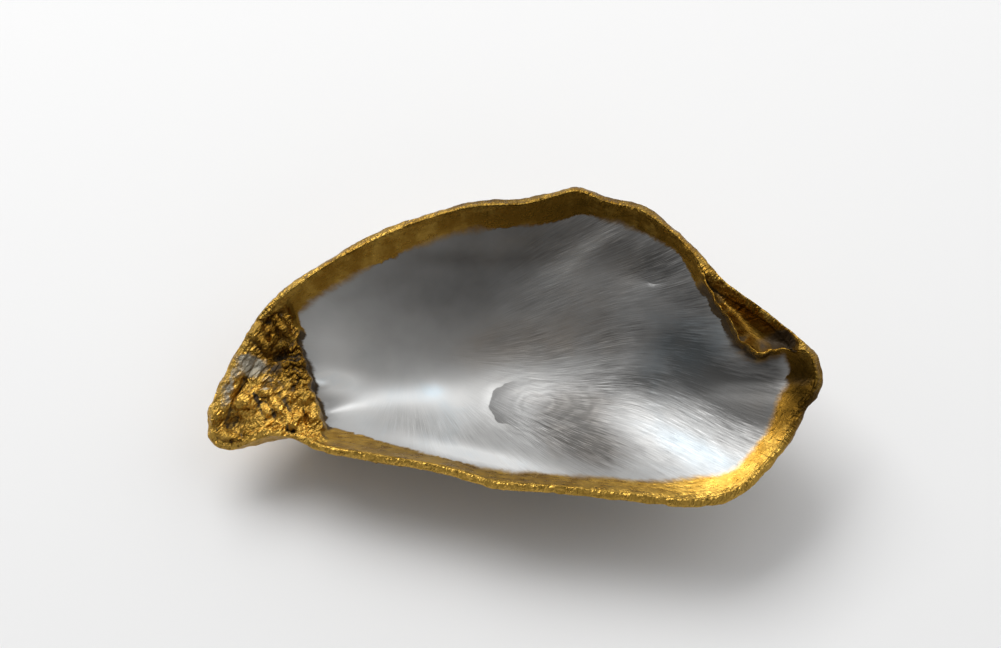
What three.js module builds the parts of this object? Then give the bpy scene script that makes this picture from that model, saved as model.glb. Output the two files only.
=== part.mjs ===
// Oyster shell dish: the cupped valve of an oyster, kept whole and used as a small dish.
// Millimetres, +Z up. X runs along the shell, from the hinge at -X to the growing margin at +X.
// The origin is the middle of the shell's bounding box in plan, at the height of the flat it rests on.

import * as THREE from 'three';

// Heights and thicknesses.
const FLOOR_HEIGHT = 4; // lowest point of the bowl over the resting flat
const MARGIN_THICKNESS = 1.3; // width of the rough edge all round
const MARGIN_BEVEL = 0.8; // how far that edge slopes down to the outside
const FLOOR_THICKNESS = 5.8; // wall at the middle, before the resting flat is cut into it
const WALL_TAPER = 0.8; // how evenly the wall thins from the middle to the margin

// The margin seen from above, anticlockwise from the end farthest from the hinge: x, y, height.
const MARGIN = [
  [56, -7, 23.5],
  [55, -3, 25],
  [52, 0, 26.2],
  [46, 5, 26.6],
  [38, 11.5, 26],
  [34, 17, 25.5],
  [30, 21.5, 25],
  [24, 26, 24.9],
  [18, 27.5, 25.1],
  [12, 29.5, 25.6],
  [7, 28.6, 24.9],
  [2, 27.5, 24.3],
  [-7, 27, 24.4],
  [-18, 24, 23.9],
  [-29, 19.2, 22.9],
  [-38, 14, 21.6],
  [-45, 8.5, 20.2],
  [-50, 1, 18.4],
  [-53.5, -5.5, 16.6],
  [-56, -12, 14.6],
  [-55.2, -16, 13],
  [-51.5, -17.2, 12.4],
  [-47.5, -15.9, 13.4],
  [-44, -15.2, 14.6],
  [-40, -16, 15.5],
  [-35, -18.5, 16.3],
  [-24, -20.8, 17.1],
  [-12, -23.2, 17.9],
  [-3, -26, 18.5],
  [9, -27, 18.9],
  [22, -28.5, 19.3],
  [33, -29.5, 19.6],
  [40, -28, 19.9],
  [46, -23, 20.7],
  [51, -17, 21.9],
  [53, -12.5, 22.7],
  [55, -10, 23.1],
];

// The bowl: its deepest point in plan, and the powers that shape its wall from there to the margin.
const BOWL_CENTRE = new THREE.Vector2(-2, 0);
const SOFTENING = 0.2; // part of the margin over which its bends are evened out for the inner contours
const SOFTENING_STEPS = 9;
const SOFT_SCALE = 1.2; // makes up for the size that the evening out takes away
const OUTLINE_POWER = 3.5; // higher keeps the even contours further out
const BOWL_FLATNESS = 2.4; // higher makes the floor flatter
const BOWL_FLARE = 3.6; // higher makes the wall steeper before it flares out at the margin
const MARGIN_SLOPE = 0.8; // slope of the flare, in parts of the bowl's mean slope

// The thick hinge plate, behind a line that leans across the shell: x = HINGE_X + HINGE_LEAN * y.
const HINGE_X = -38.6;
const HINGE_LEAN = -0.293;
const PLATE_EDGE_HEIGHT = 15.8;
const PLATE_TILT = 0.08; // rise of that edge for each millimetre of y
const PLATE_STEP = 0.8; // half the width of the step down to the bowl
const PLATE_CRUMPLE = 0.5;
const CAVITY_DEPTH = 0.6; // hollow of the bowl in front of the plate
const CAVITY_REACH = 8;
const UMBO_THICKNESS = 4.4; // how much thicker the wall is under the plate
const UMBO_REACH = 22;

// The folded lip inside the margin: its edge seen from above, from the growing end towards the hinge.
const LIP_EDGE = [
  [54.6, -2.6],
  [51.9, -1.2],
  [47.6, -1.2],
  [45.4, -1.6],
  [43.7, -1],
  [41.9, 0.5],
  [39.5, 5.7],
  [38, 7.6],
  [35.4, 12.7],
  [33.8, 17.9],
];
const LIP_HEIGHT = 25; // of the lip's edge over the resting flat
const LIP_STEP = 1.2; // width of the step from the bowl up to that edge
const LIP_GROWTH = 0.12; // part of the lip's length over which it rises
const LIP_FADING = 0.28; // part over which it dies away towards the hinge
const TROUGH_DEPTH = 2.6; // dip between the lip's edge and the margin

// The outside: radial folds that fan out from the umbo, and steps where growth paused.
const UMBO = new THREE.Vector2(-54, -13);
const RIB_PITCH = 0.2; // radians between two folds
const RIB_HEIGHT = 1;
const GROWTH_PITCH = 11; // distance between two steps, from the umbo outwards
const GROWTH_HEIGHT = 0.8;

// How finely the surfaces are divided.
const AROUND = 132;
const BOWL_RINGS = 11; // from the middle to the foot of the hinge plate or folded lip
const BAND_RINGS = 7; // from there to the margin
const OUTER_RINGS = 14;
const LIP_POINTS = 90; // spans along the lip's edge
const RING_CROWDING = 1.25; // above 1, rings stand closer together near the margin
const PLAIN_BAND = [0.74, 0.78]; // the two rings that carry a step, on a ray that has none
const EVENING_PASSES = 3; // how far those two rings are evened out from ray to ray

const { clamp, smoothstep, lerp } = THREE.MathUtils;

const marginCurve = new THREE.CatmullRomCurve3(
  MARGIN.map(([x, y, z]) => new THREE.Vector3(x, y, z)),
  true,
  'centripetal',
);
marginCurve.arcLengthDivisions = 800;
const marginPoints = marginCurve.getSpacedPoints(600);

// Point of the margin at a part t of its length, and the direction straight out of it in plan.
function marginPoint(t) {
  return marginCurve.getPointAt(THREE.MathUtils.euclideanModulo(t, 1));
}

function marginNormal(t) {
  const tangent = marginCurve.getTangentAt(THREE.MathUtils.euclideanModulo(t, 1));
  return new THREE.Vector2(tangent.y, -tangent.x).normalize();
}

function marginDistance(plan) {
  return Math.min(...marginPoints.map((point) => Math.hypot(point.x - plan.x, point.y - plan.y)));
}

// The lip's edge, as points with the direction across it towards the margin and the lip's strength.
const lipCurve = new THREE.SplineCurve(LIP_EDGE.map(([x, y]) => new THREE.Vector2(x, y)));
const lipPoints = lipCurve.getSpacedPoints(LIP_POINTS).map((point, i) => {
  const part = i / LIP_POINTS;
  const tangent = lipCurve.getTangentAt(part);
  return {
    point,
    across: new THREE.Vector2(tangent.y, -tangent.x),
    strength: smoothstep(part, 0, LIP_GROWTH) * (1 - smoothstep(part, 1 - LIP_FADING, 1)),
  };
});

// Distance past the lip's edge towards the margin, negative in the bowl, and the lip's strength there.
function readLip(plan) {
  let nearest = lipPoints[0];
  for (const candidate of lipPoints) {
    if (candidate.point.distanceToSquared(plan) < nearest.point.distanceToSquared(plan)) {
      nearest = candidate;
    }
  }
  const step = plan.clone().sub(nearest.point);
  return { gap: Math.sign(step.dot(nearest.across)) * step.length(), strength: nearest.strength };
}

// The even contour that the bowl's inner contours follow, as a step from the bowl's centre.
function softenedMargin(t) {
  const sum = new THREE.Vector2();
  let total = 0;
  for (let step = -SOFTENING_STEPS; step <= SOFTENING_STEPS; step += 1) {
    const part = step / (SOFTENING_STEPS + 1);
    const weight = Math.cos((Math.PI / 2) * part);
    const point = marginPoint(t + SOFTENING * part);
    sum.x += weight * point.x;
    sum.y += weight * point.y;
    total += weight;
  }
  return sum.divideScalar(total).sub(BOWL_CENTRE).multiplyScalar(SOFT_SCALE);
}

// Everything that is the same along one ray from the bowl's centre to the margin.
function makeRay(t) {
  const edge = marginPoint(t);
  const normal = marginNormal(t);
  const plateDepth = HINGE_X + HINGE_LEAN * edge.y - edge.x;
  const ray = { edge, soft: softenedMargin(t), normal, plateDepth, hinge: smoothstep(plateDepth, 0, 6) };
  const lipStep = (plan) => readLip(plan).gap + LIP_STEP / 2;
  const crossing = readLip(planPoint(ray, stepPosition(ray, lipStep, 0), MARGIN_THICKNESS));
  const crosses = Math.abs(crossing.gap + LIP_STEP / 2) < 0.1 && crossing.strength > 0;
  const [distance, half, weight] = crosses
    ? [lipStep, LIP_STEP / 2, smoothstep(crossing.strength, 0, 0.4)]
    : [behindHinge, PLATE_STEP, smoothstep(plateDepth, -8, 0)];
  [ray.foot, ray.top] = stepRings(ray, distance, half, weight);
  return ray;
}

// Distance behind the hinge line, negative in the bowl.
function behindHinge(plan) {
  return HINGE_X + HINGE_LEAN * plan.y - plan.x;
}

// Part of the way out at which a distance that grows outwards reaches a value, found by halving.
function stepPosition(ray, distance, value) {
  let low = 0;
  let high = 1;
  for (let halving = 0; halving < 20; halving += 1) {
    const middle = (low + high) / 2;
    if (distance(planPoint(ray, middle, MARGIN_THICKNESS)) < value) {
      low = middle;
    } else {
      high = middle;
    }
  }
  return low;
}

// The rings at the foot and top of a step, which a weight of 0 leaves where plain rays have them.
function stepRings(ray, distance, half, weight) {
  const foot = clamp(stepPosition(ray, distance, -half), 0.45, 0.94);
  const top = clamp(stepPosition(ray, distance, half), foot + 0.015, 0.97);
  return [lerp(PLAIN_BAND[0], foot, weight), lerp(PLAIN_BAND[1], top, weight)];
}

// Plan position at a part v of the way out, on contours that change from the even one to the margin.
// The inset moves the margin itself inwards.
function planPoint(ray, v, inset) {
  const end = new THREE.Vector2(ray.edge.x, ray.edge.y).addScaledVector(ray.normal, -inset).sub(BOWL_CENTRE);
  const step = ray.soft.clone().multiplyScalar(v).addScaledVector(end.sub(ray.soft), v ** OUTLINE_POWER);
  return step.add(BOWL_CENTRE);
}

// Height after the folded lip: a raised edge over the bowl, and a trough from it to the margin.
function foldedHeight(ray, plan, plain) {
  const { gap, strength } = readLip(plan);
  if (strength === 0) {
    return plain;
  }
  if (gap <= 0) {
    return lerp(plain, lerp(LIP_HEIGHT, plain, smoothstep(-gap, 0, LIP_STEP)), strength);
  }
  const share = gap / (gap + marginDistance(plan));
  const dip = TROUGH_DEPTH * Math.sin(Math.PI * share ** 0.8);
  return lerp(plain, lerp(LIP_HEIGHT, ray.edge.z, share ** 1.5) - dip, strength);
}

// Height of a plain bowl with this margin, without plate, lip or cavity.
function plainHeight(ray, v) {
  const excess = (BOWL_FLATNESS - MARGIN_SLOPE) / (BOWL_FLARE - BOWL_FLATNESS);
  const rise = (1 + excess) * v ** BOWL_FLATNESS - excess * v ** BOWL_FLARE;
  return FLOOR_HEIGHT + (ray.edge.z - FLOOR_HEIGHT) * rise;
}

function innerHeight(ray, v, plan) {
  const behind = behindHinge(plan);
  let height = plainHeight(ray, v) - CAVITY_DEPTH * Math.exp(-((behind / CAVITY_REACH) ** 2)) * (1 - v ** 6);
  if (ray.plateDepth > 0) {
    const back = clamp(behind / ray.plateDepth, 0, 1);
    const crumple = PLATE_CRUMPLE * Math.sin(0.5 * plan.x + 0.3 * plan.y) * Math.sin(0.6 * plan.y) * (1 - back);
    const plate = lerp(PLATE_EDGE_HEIGHT + PLATE_TILT * plan.y, ray.edge.z, back ** 2) + crumple;
    const onPlate = smoothstep(behind, -PLATE_STEP, PLATE_STEP) * ray.hinge;
    height = lerp(height, plate, onPlate);
  }
  return foldedHeight(ray, plan, height);
}

// Folds and growth steps of the outside, as a depth under the plain wall.
function outerRelief(plan, v) {
  const fromUmbo = plan.clone().sub(UMBO);
  const ribs = 0.5 + 0.5 * Math.cos((2 * Math.PI * fromUmbo.angle()) / RIB_PITCH);
  const steps = THREE.MathUtils.euclideanModulo(fromUmbo.length() / GROWTH_PITCH, 1);
  const fade = smoothstep(v, 0.35, 0.75) * (1 - v ** 8) * smoothstep(fromUmbo.length(), 0, 40);
  return fade * (RIB_HEIGHT * ribs + GROWTH_HEIGHT * steps);
}

function outerHeight(ray, v, plan) {
  const wall = MARGIN_BEVEL + (FLOOR_THICKNESS - MARGIN_BEVEL) * (1 - v) ** WALL_TAPER;
  const umbo = UMBO_THICKNESS * smoothstep(behindHinge(plan), -UMBO_REACH, 0) * (1 - v ** 8);
  const plain = plainHeight(ray, v);
  const inner = Math.min(plain, foldedHeight(ray, plan, plain));
  return Math.max(0, inner - wall - umbo - outerRelief(plan, v));
}

// Evens out a value from ray to ray, so that no ring turns sharply.
function evenOut(rays, key) {
  for (let pass = 0; pass < EVENING_PASSES; pass += 1) {
    const values = rays.map((ray) => ray[key]);
    rays.forEach((ray, i) => {
      ray[key] = 0.5 * values[i] + 0.25 * (values.at(i - 1) + values[(i + 1) % AROUND]);
    });
  }
}

// Ring positions from 0, left out, to 1, crowded towards 1.
function crowdedSteps(count) {
  return Array.from({ length: count }, (_, k) => 1 - (1 - (k + 1) / count) ** RING_CROWDING);
}

// Parts of the way out on the inside, with a ring at the foot of the ray's step.
function innerStep(ray, ring) {
  if (ring < BOWL_RINGS) {
    return (ray.foot * (ring + 1)) / BOWL_RINGS;
  }
  return lerp(ray.top, 1, (ring - BOWL_RINGS) / (BAND_RINGS - 1));
}

// One closed surface: rings from the bowl's centre out to the margin, over it, and back underneath.
function shellGeometry() {
  const rays = Array.from({ length: AROUND }, (_, i) => makeRay(i / AROUND));
  evenOut(rays, 'foot');
  evenOut(rays, 'top');
  const positions = [];
  const index = [];
  const addVertex = (plan, height) => positions.push(plan.x, plan.y, height);
  addVertex(BOWL_CENTRE, FLOOR_HEIGHT);
  for (let ring = 0; ring < BOWL_RINGS + BAND_RINGS; ring += 1) {
    for (const ray of rays) {
      const v = innerStep(ray, ring);
      const plan = planPoint(ray, v, MARGIN_THICKNESS);
      addVertex(plan, innerHeight(ray, v, plan));
    }
  }
  for (const v of crowdedSteps(OUTER_RINGS).reverse()) {
    for (const ray of rays) {
      const plan = planPoint(ray, v, 0);
      addVertex(plan, outerHeight(ray, v, plan));
    }
  }
  addVertex(BOWL_CENTRE, 0);

  const rings = BOWL_RINGS + BAND_RINGS + OUTER_RINGS;
  const at = (ring, i) => 1 + ring * AROUND + (i % AROUND);
  const bottom = 1 + rings * AROUND;
  for (let i = 0; i < AROUND; i += 1) {
    index.push(0, at(0, i), at(0, i + 1));
    index.push(bottom, at(rings - 1, i + 1), at(rings - 1, i));
    for (let ring = 0; ring < rings - 1; ring += 1) {
      index.push(at(ring, i), at(ring + 1, i), at(ring + 1, i + 1));
      index.push(at(ring, i), at(ring + 1, i + 1), at(ring, i + 1));
    }
  }

  const geometry = new THREE.BufferGeometry();
  geometry.setAttribute('position', new THREE.Float32BufferAttribute(positions, 3));
  geometry.setIndex(index);
  geometry.computeBoundingBox();
  const { min, max } = geometry.boundingBox;
  geometry.translate(-(min.x + max.x) / 2, -(min.y + max.y) / 2, -min.z);
  geometry.computeVertexNormals();
  return geometry;
}

const shellMaterial = new THREE.MeshStandardMaterial({ color: 0xb4b1aa, roughness: 0.35, metalness: 0.4 });
const shell = new THREE.Mesh(shellGeometry(), shellMaterial);
shell.name = 'oyster_shell';

const oysterShellDish = new THREE.Group();
oysterShellDish.add(shell);

export default oysterShellDish;
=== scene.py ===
"""Oyster shell dish, laid out as a Blender add-on and run as a script.

One cupped oyster valve: a pearly nacre bowl, a thick crumpled hinge plate and a wavy margin under
brushed gold paint, and a weathered outside with overlapping growth lamellae. Heights and plan
positions are in millimetres in the tables below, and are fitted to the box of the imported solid.
"""

import math

import bpy
import numpy as np
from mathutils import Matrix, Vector


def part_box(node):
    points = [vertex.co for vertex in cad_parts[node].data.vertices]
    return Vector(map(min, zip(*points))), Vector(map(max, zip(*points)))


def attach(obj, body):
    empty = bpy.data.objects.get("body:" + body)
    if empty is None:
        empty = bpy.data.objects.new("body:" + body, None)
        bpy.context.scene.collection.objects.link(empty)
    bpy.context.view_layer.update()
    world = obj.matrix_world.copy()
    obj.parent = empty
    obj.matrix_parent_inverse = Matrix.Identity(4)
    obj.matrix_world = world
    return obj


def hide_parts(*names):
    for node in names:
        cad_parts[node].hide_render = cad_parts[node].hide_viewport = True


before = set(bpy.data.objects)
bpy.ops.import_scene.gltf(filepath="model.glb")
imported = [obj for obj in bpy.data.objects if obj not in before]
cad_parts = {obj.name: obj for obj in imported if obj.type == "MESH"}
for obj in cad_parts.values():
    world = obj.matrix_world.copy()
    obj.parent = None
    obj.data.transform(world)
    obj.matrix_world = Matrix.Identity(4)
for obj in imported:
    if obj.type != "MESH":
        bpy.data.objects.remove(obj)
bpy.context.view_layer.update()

bl_info = {
    "name": "Oyster Shell Dish",
    "version": (1, 0, 0),
    "blender": (4, 5, 0),
    "location": "3D View > Sidebar > Oyster Dish",
    "description": "Builds a gilded oyster shell dish with its stage",
    "category": "Add Mesh",
}

MM = 0.001
SHELL_NODE = "oyster_shell"
BOX_LOW, BOX_HIGH = (np.array(corner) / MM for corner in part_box(SHELL_NODE))
BOX_MIDDLE = (BOX_LOW + BOX_HIGH) / 2

# The margin seen from above, anticlockwise from the end farthest from the hinge:
# x, y, height, and how far the gilding reaches in from it.
MARGIN = [
    (56, -7, 23.5, 7.0),
    (55, -3, 25, 6.5),
    (52, 0, 26.2, 4.0),
    (46, 5, 26.6, 4.0),
    (38, 11.5, 26, 4.0),
    (34, 17, 25.5, 3.2),
    (30, 21.5, 25, 3.2),
    (24, 26, 24.9, 4.4),
    (18, 27.5, 25.1, 3.8),
    (12, 29.5, 25.6, 4.6),
    (7, 28.6, 24.9, 5.0),
    (2, 27.5, 24.3, 4.4),
    (-7, 27, 24.4, 4.4),
    (-18, 24, 23.9, 4.5),
    (-29, 19.2, 22.9, 4.6),
    (-38, 14, 21.6, 4.6),
    (-45, 8.5, 20.2, 4.5),
    (-50, 1, 18.4, 4.0),
    (-53.5, -5.5, 16.6, 4.0),
    (-56, -12, 14.6, 4.0),
    (-55.2, -16, 13, 4.0),
    (-51.5, -17.2, 12.4, 4.0),
    (-47.5, -15.9, 13.4, 4.0),
    (-44, -15.2, 14.6, 4.0),
    (-40, -16, 15.5, 4.5),
    (-35, -18.5, 16.3, 6.0),
    (-24, -20.8, 17.1, 4.6),
    (-12, -23.2, 17.9, 3.2),
    (-3, -26, 18.5, 3.8),
    (9, -27, 18.9, 3.9),
    (22, -28.5, 19.3, 4.3),
    (33, -29.5, 19.6, 5.5),
    (40, -28, 19.9, 5.0),
    (46, -23, 20.7, 4.4),
    (51, -17, 21.9, 4.8),
    (53, -12.5, 22.7, 5.4),
    (55, -10, 23.1, 6.2),
]

# The bowl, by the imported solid's rule.
BOWL_CENTRE = np.array((-2.0, 0.0))
BOWL_FLATNESS = 2.4
BOWL_FLARE = 3.6
MARGIN_SLOPE = 0.8
SOFTENING = 0.2
SOFTENING_STEPS = 9
SOFT_SCALE = 1.2
OUTLINE_POWER = 3.5
MARGIN_BEVEL = 0.8
FLOOR_THICKNESS = 5.8
WALL_TAPER = 0.8

# The hinge plate, behind the line x = HINGE_X + HINGE_LEAN * y.
HINGE_X = -38.6
HINGE_LEAN = -0.293
PLATE_TILT = 0.08
PLATE_STEP = 0.8
CAVITY_DEPTH = 0.6
CAVITY_REACH = 8.0
UMBO_THICKNESS = 4.4
UMBO_REACH = 22.0
UMBO = np.array((-54.0, -13.0))

# Lumps and hollows of the hinge plate: x, y, half length, half width, turn in degrees, height.
PLATE_LUMPS = [
    (-42.6, 4.8, 2.4, 0.8, -55, 1.6),
    (-45.4, 1.2, 2.8, 0.7, -65, 1.4),
    (-44.0, 2.9, 1.8, 0.6, -100, 1.0),
    (-47.4, 2.6, 2.0, 0.6, -40, 0.8),
    (-46.4, 5.4, 1.7, 0.7, 10, -1.5),
    (-43.1, -0.3, 1.9, 1.2, 20, -2.8),
    (-51.9, -5.5, 5.0, 1.5, 68, 0.8),
    (-49.8, -6.3, 4.6, 0.7, 62, -1.1),
    (-49.1, -9.2, 1.8, 1.6, 10, 2.2),
    (-49.1, -10.3, 1.3, 0.3, 0, -1.3),
    (-45.5, -7.5, 1.6, 1.1, 0, 1.6),
    (-45.4, -8.2, 0.9, 0.25, 0, -0.9),
    (-51.1, -12.4, 2.4, 1.5, 20, -1.7),
    (-54.8, -12.0, 1.5, 0.9, 60, 1.1),
    (-53.3, -14.9, 1.8, 0.7, -50, 1.1),
    (-54.2, -13.9, 1.6, 0.4, -45, -1.0),
    (-51.6, -15.3, 1.6, 0.8, -20, 1.0),
    (-52.5, -16.2, 1.4, 0.4, -35, -0.8),
    (-38.2, -8.0, 3.0, 1.1, 8, 1.2),
    (-43.4, -9.9, 2.0, 0.7, -60, 1.2),
    (-41.9, -10.7, 2.0, 0.7, -60, 1.0),
    (-44.9, -10.7, 1.4, 0.6, -60, 0.8),
    (-39.7, -12.4, 1.8, 1.0, 60, 0.9),
    (-38.1, -11.9, 2.2, 0.35, 100, -1.1),
    (-36.4, -11.8, 1.8, 0.9, 90, 0.9),
    (-40.8, -14.3, 1.3, 0.6, -15, -1.5),
]
PLATE_STRATA = {"x": -39.6, "y": -2.4, "half_x": 2.6, "half_y": 4.2, "pitch": 0.95, "height": 0.5}

# The edge of the folded lip inside the margin, seen from above: x, y.
LIP_EDGE = [
    (54.6, -2.6),
    (53.2, -1.9),
    (51.9, -1.2),
    (49.9, -1.0),
    (47.6, -1.2),
    (45.4, -1.6),
    (43.7, -1.0),
    (41.9, 0.5),
    (41.0, 2.6),
    (39.5, 5.7),
    (38.0, 7.6),
    (36.8, 10.0),
    (35.4, 12.7),
    (34.5, 15.2),
    (33.8, 17.9),
]
LIP_STEP = 0.9
LIP_RAGGEDNESS = 0.13
LIP_SAMPLES = 260
LIP_EVENING_ROUNDS = 40

# The gilding: how far it reaches past the lip's edge and over the plate and the broken face, and a
# reach that leaves a place bare. The rim is the strip along the margin that is chipped and ribbed.
LIP_GILDING = 1.7
PLATE_GILDING = 8.0
RIM_GILDING = 4.0
NO_GILDING = -9.0
RIM_WIDTH = 1.6

# Bare places of the gilding, and dark places that are partly dark stains and partly painted shade in the
# plate's pits, under the beak and in the lip's trough: x, y, half length, half width, turn in degrees,
# strength.
BARE_PLACES = [
    (-47.8, -2.4, 3.0, 2.2, -20, 1.2),
    (-50.6, -3.6, 2.2, 1.2, 60, 0.7),
    (-52.3, -7.4, 3.6, 1.1, 72, 0.8),
    (-45.0, -4.8, 1.5, 0.9, 0, 0.7),
    (-42.6, -5.8, 2.0, 0.6, -60, 0.6),
    (-41.0, -5.2, 1.2, 0.5, -60, 0.5),
    (-51.3, -11.7, 1.6, 0.6, 30, 0.6),
    (-45.6, -7.0, 1.3, 0.5, 0, 0.6),
    (-36.5, -7.6, 1.2, 0.7, 0, 0.35),
    (51.6, 2.0, 1.3, 0.7, -50, 0.8),
]
DARK_AND_SHADED_PLACES = [
    (-39.6, -1.2, 2.7, 3.6, 10, 1.0),
    (-37.8, -3.0, 1.0, 4.4, 15, 0.8),
    (-42.6, -2.0, 2.8, 1.4, 25, 0.7),
    (-43.1, -0.4, 1.8, 1.0, 20, 1.0),
    (-39.0, 3.4, 1.0, 1.8, 10, 0.6),
    (-40.8, -14.3, 1.5, 0.7, -15, 1.0),
    (-46.5, 5.4, 1.8, 0.6, 10, 0.6),
    (-39.5, -5.8, 3.0, 1.0, 0, 0.6),
    (-47.0, -8.8, 0.8, 1.4, 0, 0.6),
    (-53.6, -13.4, 1.6, 0.7, 50, 0.6),
    (49.5, 0.6, 3.0, 1.6, -20, 0.7),
]

# Broad painted light and shade of the nacre, standing in for the reflections and light on the bowl, and its
# tint: x, y, half length, half width, turn, painted light, blueness.
NACRE_PAINTED_LIGHT_AND_TINT = [
    (9, 23, 34, 8, -4, -0.26, -0.4),
    (-6, 18.4, 17, 1.3, 2, -0.10, -0.3),
    (-12, 14.0, 18, 5.0, 8, -0.26, 0.0),
    (0, 8, 22, 6.0, 0, -0.08, 0.0),
    (-34, 3.0, 6, 8.0, 0, 0.20, 0.1),
    (13.5, 19.4, 7.0, 1.8, 27, 0.32, 0.1),
    (26, 16.5, 9, 3.6, 18, -0.12, -0.3),
    (32, 11.0, 8, 4.0, -30, -0.20, 0.0),
    (31, 1.5, 12, 6.0, -24, -0.34, 0.7),
    (42, -10.0, 10, 4.0, -38, -0.66, -0.3),
    (47, -6.0, 4, 6.0, 0, -0.24, -0.4),
    (25, -4.0, 8, 3.0, -20, -0.30, 0.2),
    (32, -17.4, 12, 3.2, -30, 0.36, 0.7),
    (28, -22, 12, 2.6, -6, 0.14, 0.2),
    (15, -16, 10, 6.0, -20, -0.44, -0.6),
    (12, -7, 8, 5.0, 0, -0.34, -0.5),
    (-28, -11, 8, 5.0, -20, 0.10, 0.3),
    (-33, -3.4, 5, 2.0, 0, 0.75, 0.3),
    (-20, -5.2, 9, 2.2, 0, 0.30, 0.3),
    (-14.6, -3.7, 2.0, 1.6, 0, 0.30, 0.5),
    (-12, -7.5, 7, 4.6, -20, 0.20, 0.2),
    (-6, -18.8, 13, 2.0, -14, 0.85, 0.3),
    (2, 6, 15, 4.5, 8, -0.06, -0.7),
    (20, 4, 9, 3.0, 0, -0.08, -0.5),
]

# Where the brushing shows as fine scratches, painted bright as sheen: x, y, half length, half width, turn,
# strength.
BRUSHED_PLACES = [
    (13.5, 19.6, 8.5, 2.6, 27, 1.0),
    (26, 15.5, 9.5, 4.5, 18, 0.7),
    (34, -15, 17, 6.5, -30, 1.0),
    (5, 3.6, 14, 2.4, 4, 0.7),
    (6, -13, 14, 3.5, -22, 0.8),
    (-18, -11, 10, 3.4, -18, 0.7),
    (20, -4, 12, 4.0, -14, 0.6),
]

# Broad painted light and shade of the gilding, standing in for how its reflections fall: x, y, half length,
# half width, turn, painted shade.
GILT_PAINTED_SHADES = [
    (4, 26, 24, 5, 0, -0.45),
    (-43, 3, 7, 7, 0, -0.28),
    (-40, -3, 3, 4, 10, -0.30),
    (30, 19, 10, 5, -45, -0.25),
    (45, 3.5, 8, 4.5, -40, -0.42),
    (52.4, -9, 5, 6, 0, -0.85),
    (50, -14, 5, 6, 0, -0.2),
    (-30, 17, 12, 4, 28, -0.15),
    (-45, -10, 8, 4, 0, 0.45),
    (-12, -23, 26, 5, -12, 0.2),
    (30, -28, 18, 4, -3, 0.1),
]

# The adductor muscle's scar in the nacre.
SCAR = {"x": 4.6, "y": -6.8, "half_x": 9.2, "half_y": 5.4, "depth": 0.12}

# The two plan directions that the hinge plate's crumpled folds follow.
DRAPE_ACROSS = (0.62, 0.78, 0.0)
DRAPE_ALONG = (-0.78, 0.62, 0.0)

# Divisions of the mesh. The rounding is the spread, in rays, at the bowl's centre.
SPAN_STEPS = 40
AROUND = 600
HINGE_CROWDING = 0.9
BOWL_ROWS = 24
RING_ROUNDING = 50
RING_EVENING_ROUNDS = 14
STEP_ROWS = 10
BAND_ROWS = 41
RIM_ROWS = 6
OUTER_ROWS = 79
PLAIN_BAND = (0.74, 0.78)
POINTS_AT_ONCE = 4000

# Rounds of smoothing after which a point's depth under its surroundings is stored, for painted shade in
# hollows.
HOLLOW_ROUNDS = {"hollow_fine": 3, "hollow_wide": 30}

# The view: the point looked at, measured from the box's middle in plan and its base, in millimetres.
VIEW_TARGET = (-2.1, 4.5, 20.0)
VIEW_DISTANCE = 434.0
SENSOR_WIDTH = 36.0

# The stage, in metres: half the floor's width, and each light's place from the dish and its size.
FLOOR_HALF = 3.0
KEY_LIGHT = ((-0.32, 0.6, 0.75), (0.7, 0.5))
SIDE_LIGHT = ((0.5, 0.4, 0.6), (1.0, 1.0))
FILL_LIGHT = ((0.5, -0.9, 0.6), (0.8, 0.8))


def smooth(value, low, high):
    """Goes from 0 at low to 1 at high, level at both ends."""
    part = np.clip((value - low) / (high - low), 0, 1)
    return part * part * (3 - 2 * part)


def closed_curve(points, per_span):
    """Samples of a closed centripetal Catmull-Rom curve through the points."""
    before = np.roll(points, 1, axis=0)
    after = np.roll(points, -1, axis=0)
    later = np.roll(points, -2, axis=0)
    gap_before = np.sqrt(np.linalg.norm((points - before)[:, :3], axis=1))[:, None]
    gap = np.roll(gap_before, -1, axis=0)
    gap_after = np.roll(gap_before, -2, axis=0)
    leave = (points - before) / gap_before - (after - before) / (gap_before + gap) + (after - points) / gap
    reach = (after - points) / gap - (later - points) / (gap + gap_after) + (later - after) / gap_after
    leave = leave * gap
    reach = reach * gap
    spans = []
    for step in range(per_span):
        u = step / per_span
        hermite = (2 * u**3 - 3 * u**2 + 1, u**3 - 2 * u**2 + u, 3 * u**2 - 2 * u**3, u**3 - u**2)
        spans.append(hermite[0] * points + hermite[1] * leave + hermite[2] * after + hermite[3] * reach)
    return np.stack(spans, axis=1).reshape(-1, points.shape[1])


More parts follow.
